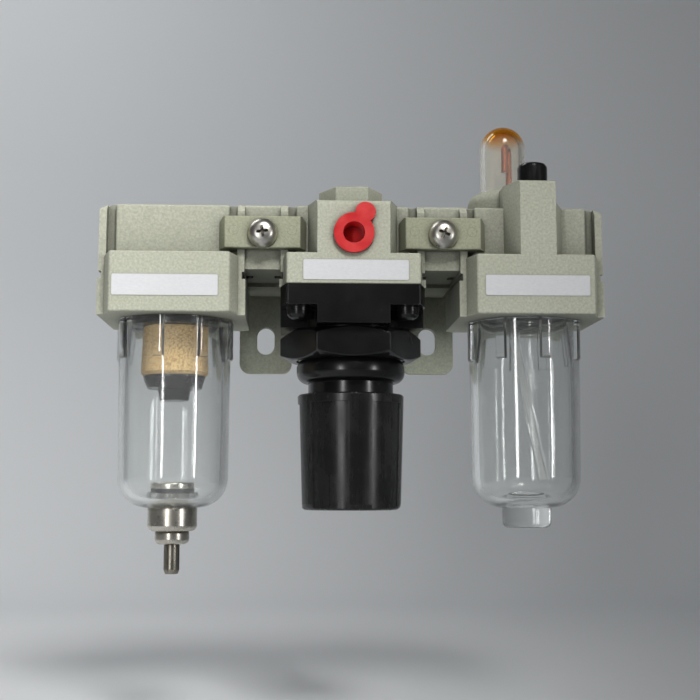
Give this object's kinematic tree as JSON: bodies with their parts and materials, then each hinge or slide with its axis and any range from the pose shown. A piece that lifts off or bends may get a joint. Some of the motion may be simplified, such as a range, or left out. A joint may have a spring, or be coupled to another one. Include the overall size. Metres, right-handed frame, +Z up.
{
  "type": "filter regulator lubricator",
  "caption": "Modular compressed-air filter, regulator and lubricator in a row, with clear bowls, a push-lock knob below the regulator and wall brackets.",
  "frame": {"origin": "centre of the inlet port's thread at the inlet face", "axes": "+X along the air flow from inlet to outlet, -Y towards the front with the labels, +Z up; the wall is at y = +30 mm"},
  "size_m": [0.1406, 0.0514, 0.13],
  "materials": {
    "die_cast_body": "fine sand-textured light grey-green paint on die-cast metal",
    "die_cast_clamp": "fine sand-textured paint, slightly yellower than the bodies",
    "black_resin": "semi-gloss black moulded resin",
    "red_plastic": "glossy soft red plastic",
    "clear_resin": "clear polycarbonate",
    "nickel": "nickel-plated brass",
    "bright_steel": "bright zinc-plated steel",
    "spring_steel": "bare steel wire",
    "sintered_element": "porous tan sintered resin",
    "black_rubber": "black nitrile rubber",
    "brass": "turned brass",
    "copper": "bare copper tube",
    "label_white": "blank white sticker",
    "siphon_clear": "clear nylon tube",
    "dome_resin": "clear resin, stained amber over the top third",
    "knob_resin": "smooth black moulded resin with faint lengthwise streaks",
    "stained_nickel": "dull, stained nickel plate"
  },
  "bodies": {
    "root": {"filter_body": "die_cast_body", "filter_label": "label_white", "filter_stud": "bright_steel", "filter_deflector": "black_resin", "filter_element": "sintered_element", "filter_baffle": "black_resin", "regulator_body": "die_cast_body", "regulator_label": "label_white", "valve_plug": "die_cast_body", "valve_plug_seal": "black_rubber", "valve_spring": "spring_steel", "diaphragm": "black_rubber", "adjusting_spring": "spring_steel", "bonnet": "black_resin", "bonnet_screws": "black_resin", "rear_gauge_plug": "nickel", "lubricator_body": "die_cast_body", "lubricator_label": "label_white", "sight_dome_seal": "black_rubber", "drip_nozzle": "clear_resin", "drip_tube": "copper", "flow_damper": "spring_steel", "check_ball": "bright_steel", "siphon_tube": "siphon_clear", "spacer_bracket_left": "die_cast_body", "spacer_bracket_right": "die_cast_body", "spacer_seal_1": "black_rubber", "spacer_seal_2": "black_rubber", "spacer_seal_3": "black_rubber", "spacer_seal_4": "black_rubber", "clamp_left": "die_cast_clamp", "clamp_right": "die_cast_clamp", "clamp_screw_left": "bright_steel", "clamp_screw_right": "bright_steel"},
    "filter_bowl_lift": {"filter_bowl_seal": "black_rubber"},
    "filter_bowl": {"filter_bowl": "clear_resin", "drain_inner_nut": "nickel", "drain_seal": "black_rubber", "drain_housing": "nickel", "drain_ring": "nickel", "drain_spring": "spring_steel"},
    "drain_core": {"drain_core": "stained_nickel", "drain_core_seal": "black_rubber"},
    "lubricator_bowl_lift": {"lubricator_bowl_seal": "black_rubber"},
    "lubricator_bowl": {"lubricator_bowl": "clear_resin"},
    "adjusting_screw": {"adjusting_screw": "bright_steel"},
    "knob": {"knob": "knob_resin"},
    "adjusting_nut": {"adjusting_nut": "brass"},
    "diaphragm_plate": {"diaphragm_plate": "bright_steel"},
    "inlet_valve": {"inlet_valve": "brass"},
    "panel_nut": {"panel_nut": "black_resin"},
    "gauge_port_cap": {"gauge_port_cap": "red_plastic"},
    "sight_dome": {"sight_dome": "dome_resin"},
    "fill_plug_lift": {"fill_plug_seal": "black_rubber"},
    "fill_plug": {"fill_plug": "black_resin"}
  },
  "joints": [
    {"name": "filter_bowl_turn", "type": "hinge", "parent": "filter_bowl_lift", "child": "filter_bowl", "pos_m": [0.02, 0, -0.04], "axis": [0, 0, -1], "range_deg": [0, 1440]},
    {"name": "filter_bowl_lower", "type": "slide", "parent": "root", "child": "filter_bowl_lift", "axis": [0, 0, -1], "range_m": [0, 0.0081]},
    {"name": "drain_push", "type": "slide", "parent": "filter_bowl", "child": "drain_core", "axis": [0, 0, 1], "range_m": [0, 0.002], "stiffness_N_per_m": 300, "springref_m": -0.004, "deforming": ["drain_spring"]},
    {"name": "lubricator_bowl_turn", "type": "hinge", "parent": "lubricator_bowl_lift", "child": "lubricator_bowl", "pos_m": [0.12, 0, -0.04], "axis": [0, 0, -1], "range_deg": [0, 1440]},
    {"name": "lubricator_bowl_lower", "type": "slide", "parent": "root", "child": "lubricator_bowl_lift", "axis": [0, 0, -1], "range_m": [0, 0.0081]},
    {"name": "screw_turn", "type": "hinge", "parent": "root", "child": "adjusting_screw", "pos_m": [0.07, 0, -0.04], "axis": [0, 0, 1], "range_deg": [0, 1728]},
    {"name": "knob_lock", "type": "slide", "parent": "adjusting_screw", "child": "knob", "axis": [0, 0, 1], "range_m": [0, 0.003]},
    {"name": "nut_climb", "type": "slide", "parent": "root", "child": "adjusting_nut", "axis": [0, 0, 1], "range_m": [0, 0.0061], "deforming": ["adjusting_spring"]},
    {"name": "diaphragm_rise", "type": "slide", "parent": "root", "child": "diaphragm_plate", "axis": [0, 0, 1], "range_m": [0, 0.001], "stiffness_N_per_m": 500, "springref_m": -0.001, "deforming": ["diaphragm"]},
    {"name": "valve_open", "type": "slide", "parent": "root", "child": "inlet_valve", "axis": [0, 0, 1], "range_m": [0, 0.0011], "deforming": ["valve_spring"]},
    {"name": "panel_nut_turn", "type": "hinge", "parent": "root", "child": "panel_nut", "pos_m": [0.07, 0, -0.029], "axis": [0, 0, 1], "continuous": true},
    {"name": "gauge_cap_pull", "type": "slide", "parent": "root", "child": "gauge_port_cap", "axis": [0, -1, 0], "range_m": [0, 0.008]},
    {"name": "sight_dome_turn", "type": "hinge", "parent": "root", "child": "sight_dome", "pos_m": [0.1152, 0.0035, 0.02], "axis": [0, 0, 1], "range_deg": [0, 270]},
    {"name": "fill_plug_turn", "type": "hinge", "parent": "fill_plug_lift", "child": "fill_plug", "pos_m": [0.1206, -0.0137, 0.018], "axis": [0, 0, 1], "range_deg": [0, 1840]},
    {"name": "fill_plug_raise", "type": "slide", "parent": "root", "child": "fill_plug_lift", "axis": [0, 0, 1], "range_m": [0, 0.005]}
  ],
  "couplings": [
    {"joint": "filter_bowl_lower", "follows": "filter_bowl_turn", "m_per_rad": 0.00031831},
    {"joint": "lubricator_bowl_lower", "follows": "lubricator_bowl_turn", "m_per_rad": 0.00031831},
    {"joint": "nut_climb", "follows": "screw_turn", "m_per_rad": 0.00019894},
    {"joint": "fill_plug_turn", "follows": "fill_plug_raise", "rad_per_m": 6283.2},
    {"joint": "valve_open", "follows": "diaphragm_rise", "ratio": 1}
  ]
}
